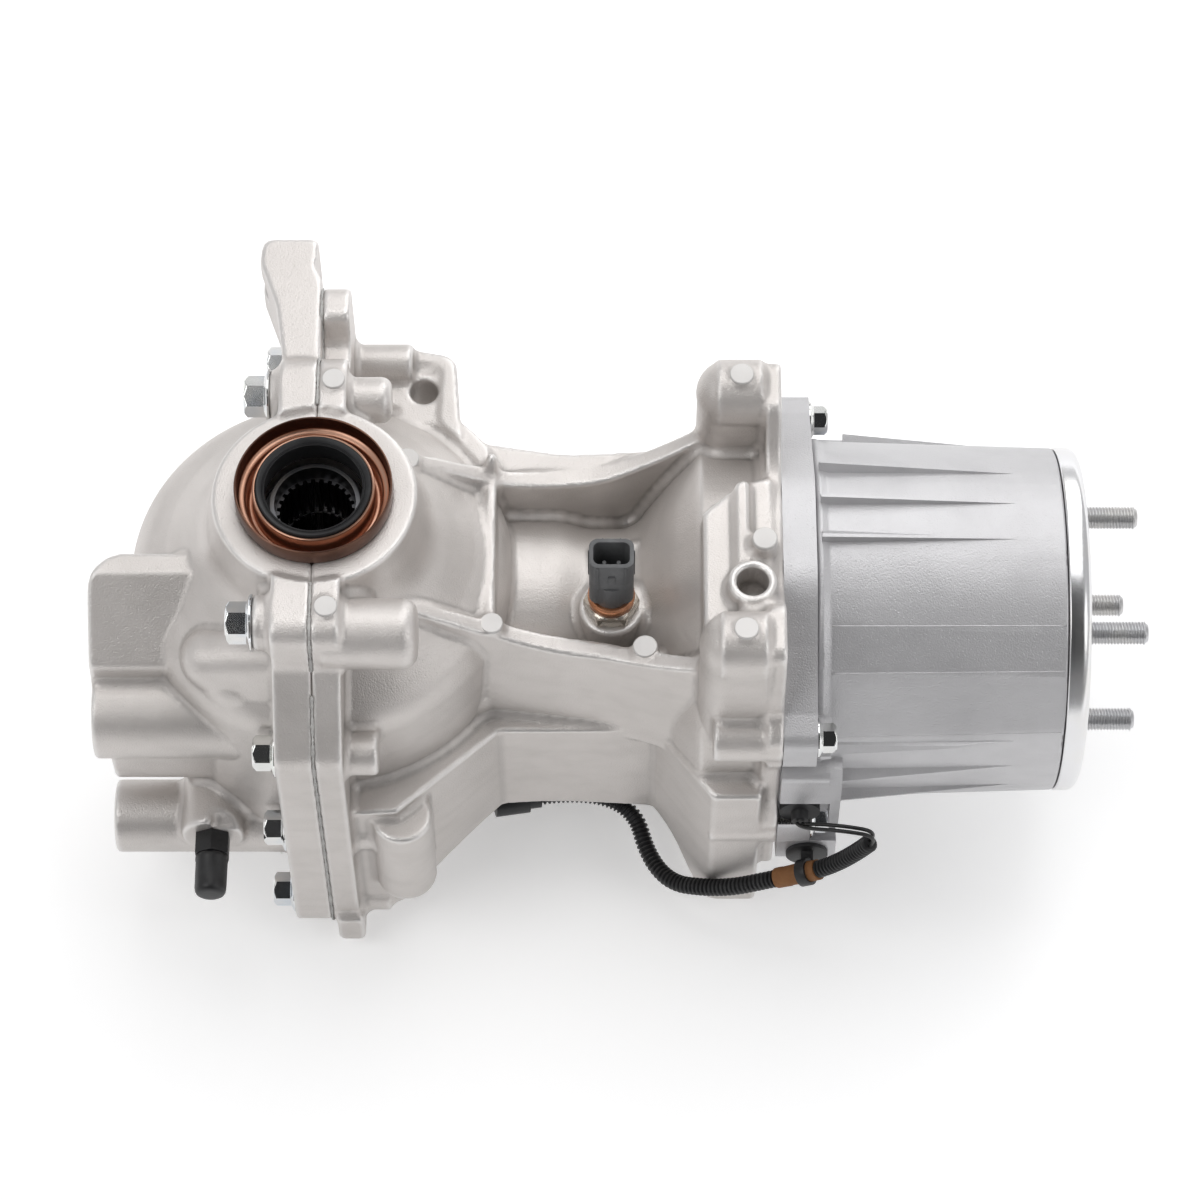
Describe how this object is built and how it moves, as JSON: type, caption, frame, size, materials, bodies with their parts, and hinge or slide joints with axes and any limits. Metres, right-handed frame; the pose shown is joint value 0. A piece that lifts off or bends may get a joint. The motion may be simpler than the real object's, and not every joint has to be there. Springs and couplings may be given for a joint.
{
  "type": "rear differential",
  "caption": "Aluminium rear differential with a finned coupling housing, studded input plate, splined outputs behind brown seals, oil sensor, breather and a conduit lead.",
  "frame": {"origin": "centre of the stud circle on the input plate's front face", "axes": "+X along the pinion out of the input plate, +Z along the axle out of the upper seal, +Y towards the mount ear"},
  "size_m": [0.4115, 0.222, 0.212],
  "materials": {
    "cast_housing": "as-cast, satin",
    "zinc_steel": "zinc plated",
    "machined_steel": "machined",
    "stud_steel": "threaded, bare",
    "gear_steel": "case hardened",
    "gear_iron": "cast",
    "seal_metal": "brown coating",
    "seal_rubber": "matt",
    "clutch_lining": "friction lining",
    "coil_copper": "wound wire",
    "nickel_brass": "nickel plated",
    "grey_plastic": "moulded",
    "black_plastic": "moulded",
    "wire_insulation": "smooth",
    "brown_tape": "cloth tape"
  },
  "bodies": {
    "case": {"main_housing": "cast_housing", "rear_cover": "cast_housing", "coupling_housing": "cast_housing", "case_bolts": "zinc_steel", "bearing_cap_bolts": "zinc_steel", "coupling_bolts": "zinc_steel", "case_dowels": "machined_steel", "upper_seal_case": "seal_metal", "upper_seal_lip": "seal_rubber", "lower_seal_case": "seal_metal", "lower_seal_lip": "seal_rubber", "upper_bearing_cup": "machined_steel", "lower_bearing_cup": "machined_steel", "head_bearing_cup": "machined_steel", "tail_bearing_cup": "machined_steel", "pinion_seal": "seal_rubber", "coil": "coil_copper", "input_bearing_outer_ring": "machined_steel", "input_seal": "seal_rubber", "sensor_body": "nickel_brass", "sensor_connector": "grey_plastic", "breather_fitting": "black_plastic", "breather_cap": "black_plastic", "lead_grommet": "seal_rubber", "lead_conduit": "black_plastic", "lead_wires": "wire_insulation", "lead_clip": "black_plastic", "drain_plug": "zinc_steel", "lead_plug": "black_plastic", "lead_sleeve": "brown_tape"},
    "differential": {"upper_bearing_cone": "machined_steel", "lower_bearing_cone": "machined_steel", "differential_case": "gear_iron", "ring_gear": "gear_steel", "ring_gear_bolts": "gear_steel", "cross_pin": "machined_steel", "cross_pin_lock": "machined_steel", "thrust_washers": "machined_steel"},
    "far_spider": {"far_spider_gear": "gear_steel"},
    "near_spider": {"near_spider_gear": "gear_steel"},
    "upper_output": {"upper_side_gear": "gear_steel", "upper_shaft_clip": "machined_steel"},
    "lower_output": {"lower_side_gear": "gear_steel", "lower_shaft_clip": "machined_steel"},
    "pinion": {"drive_pinion": "gear_steel", "head_bearing_cone": "machined_steel", "tail_bearing_cone": "machined_steel", "pinion_spacer": "machined_steel", "pinion_nut": "machined_steel", "coupling_hub": "machined_steel", "inner_plates": "clutch_lining"},
    "input": {"input_plate": "machined_steel", "input_studs": "stud_steel", "clutch_drum": "machined_steel", "outer_plates": "machined_steel", "main_cam": "machined_steel", "pilot_cam": "machined_steel", "armature": "machined_steel", "input_bearing_inner_ring": "machined_steel", "input_bearing_balls": "machined_steel"}
  },
  "joints": [
    {"name": "differential_spin", "type": "hinge", "parent": "case", "child": "differential", "pos_m": [-0.298, 0, 0], "axis": [0, 0, 1], "continuous": true},
    {"name": "pinion_spin", "type": "hinge", "parent": "case", "child": "pinion", "pos_m": [-0.298, 0, 0], "axis": [1, 0, 0], "continuous": true},
    {"name": "upper_side_spin", "type": "hinge", "parent": "differential", "child": "upper_output", "pos_m": [-0.298, 0, 0], "axis": [0, 0, 1], "continuous": true},
    {"name": "lower_side_spin", "type": "hinge", "parent": "differential", "child": "lower_output", "pos_m": [-0.298, 0, 0], "axis": [0, 0, 1], "continuous": true},
    {"name": "far_spider_spin", "type": "hinge", "parent": "differential", "child": "far_spider", "pos_m": [-0.298, 0, 0], "axis": [0, 1, 0], "continuous": true},
    {"name": "near_spider_spin", "type": "hinge", "parent": "differential", "child": "near_spider", "pos_m": [-0.298, 0, 0], "axis": [0, 1, 0], "continuous": true},
    {"name": "input_spin", "type": "hinge", "parent": "case", "child": "input", "pos_m": [-0.298, 0, 0], "axis": [1, 0, 0], "continuous": true}
  ],
  "couplings": [
    {"joint": "pinion_spin", "follows": "differential_spin", "ratio": -2.5625},
    {"joint": "lower_side_spin", "follows": "upper_side_spin", "ratio": -1},
    {"joint": "far_spider_spin", "follows": "upper_side_spin", "ratio": -1.4},
    {"joint": "near_spider_spin", "follows": "upper_side_spin", "ratio": 1.4}
  ]
}
